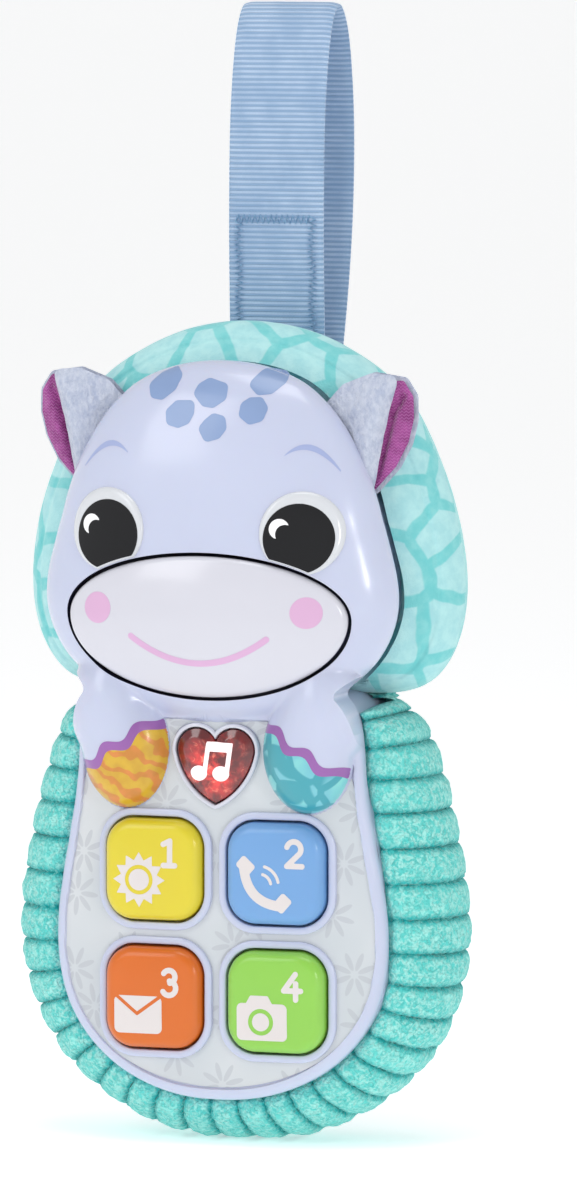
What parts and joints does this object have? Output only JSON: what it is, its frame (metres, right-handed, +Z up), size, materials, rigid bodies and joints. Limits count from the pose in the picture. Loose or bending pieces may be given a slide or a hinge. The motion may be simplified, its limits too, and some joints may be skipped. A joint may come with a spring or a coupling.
{
  "type": "toy cell phone",
  "caption": "Baby's toy phone with an animal face, lit heart and number buttons in a plastic front, wrapped in ribbed plush with a padded hood and a webbing strap loop.",
  "frame": {"origin": "centre of the flat patch under the plush body, on the surface it stands on", "axes": "+Z up, +X to the right of someone looking at the face, +Y towards the back; the face looks along -Y"},
  "size_m": [0.094, 0.065, 0.2245],
  "materials": {
    "casing": "glossy",
    "tub": "satin",
    "film": "pearl",
    "snout": "glossy",
    "eye": "glossy",
    "yellow": "glossy",
    "blue": "glossy",
    "orange": "glossy",
    "green": "glossy",
    "heart": "clear tinted",
    "rubber": "matt",
    "board": "satin",
    "chip": "matt",
    "lamp": "glossy",
    "speaker": "matt",
    "foam": "matt",
    "wire": "satin",
    "battery": "satin",
    "spring_steel": "bright",
    "door": "satin",
    "screw_steel": "bright",
    "knob": "glossy",
    "plush": "ribbed pile",
    "hood_fabric": "printed velour",
    "ear_plush": "short pile",
    "ear_satin": "knitted satin",
    "webbing": "woven",
    "hook": "hook tape"
  },
  "bodies": {
    "phone": {"front_housing": "casing", "faceplate_film": "film", "eye_left": "eye", "eye_right": "eye", "rear_housing": "tub", "circuit_board": "board", "board_components": "chip", "heart_lamp": "lamp", "keypad_rubber": "rubber", "speaker": "speaker", "speaker_foam": "foam", "speaker_leads": "wire", "batteries": "battery", "battery_contacts": "spring_steel", "battery_springs": "spring_steel", "switch_case": "chip", "housing_screws": "screw_steel", "plush_body": "plush", "hood": "hood_fabric", "ear_right": "ear_plush", "ear_left": "ear_plush", "ear_lining_right": "ear_satin", "ear_lining_left": "ear_satin", "strap": "webbing", "hook_patch": "hook", "loop_patch": "hook"},
    "snout": {"snout_button": "snout"},
    "heart": {"heart_button": "heart"},
    "power_knob": {"power_switch": "knob"},
    "door": {"battery_door": "door"},
    "door_screw": {"battery_door_screw": "screw_steel"},
    "button_1": {"number_button_1": "yellow"},
    "button_2": {"number_button_2": "blue"},
    "button_3": {"number_button_3": "orange"},
    "button_4": {"number_button_4": "green"}
  },
  "joints": [
    {"name": "button_1_press", "type": "slide", "parent": "phone", "child": "button_1", "axis": [0, 1, 0], "range_m": [0, 0.0015], "stiffness_N_per_m": 900, "springref_m": -0.0006, "deforming": ["keypad_rubber"]},
    {"name": "button_2_press", "type": "slide", "parent": "phone", "child": "button_2", "axis": [0, 1, 0], "range_m": [0, 0.0015], "stiffness_N_per_m": 900, "springref_m": -0.0006, "deforming": ["keypad_rubber"]},
    {"name": "button_3_press", "type": "slide", "parent": "phone", "child": "button_3", "axis": [0, 1, 0], "range_m": [0, 0.0015], "stiffness_N_per_m": 900, "springref_m": -0.0006, "deforming": ["keypad_rubber"]},
    {"name": "button_4_press", "type": "slide", "parent": "phone", "child": "button_4", "axis": [0, 1, 0], "range_m": [0, 0.0015], "stiffness_N_per_m": 900, "springref_m": -0.0006, "deforming": ["keypad_rubber"]},
    {"name": "heart_press", "type": "slide", "parent": "phone", "child": "heart", "axis": [0, 1, 0], "range_m": [0, 0.0015], "stiffness_N_per_m": 900, "springref_m": -0.0006, "deforming": ["keypad_rubber"]},
    {"name": "snout_press", "type": "slide", "parent": "phone", "child": "snout", "axis": [0, 1, 0], "range_m": [0, 0.0015], "stiffness_N_per_m": 900, "springref_m": -0.0006, "deforming": ["keypad_rubber"]},
    {"name": "power_slide", "type": "slide", "parent": "phone", "child": "power_knob", "axis": [1, 0, 0], "range_m": [-0.004, 0.004]},
    {"name": "door_lift_off", "type": "slide", "parent": "phone", "child": "door", "axis": [0, 1, 0], "range_m": [0, 0.03]},
    {"name": "door_screw_turn", "type": "hinge", "parent": "door", "child": "door_screw", "pos_m": [0, 0.009, 0.0485], "axis": [0, 1, 0], "continuous": true}
  ]
}
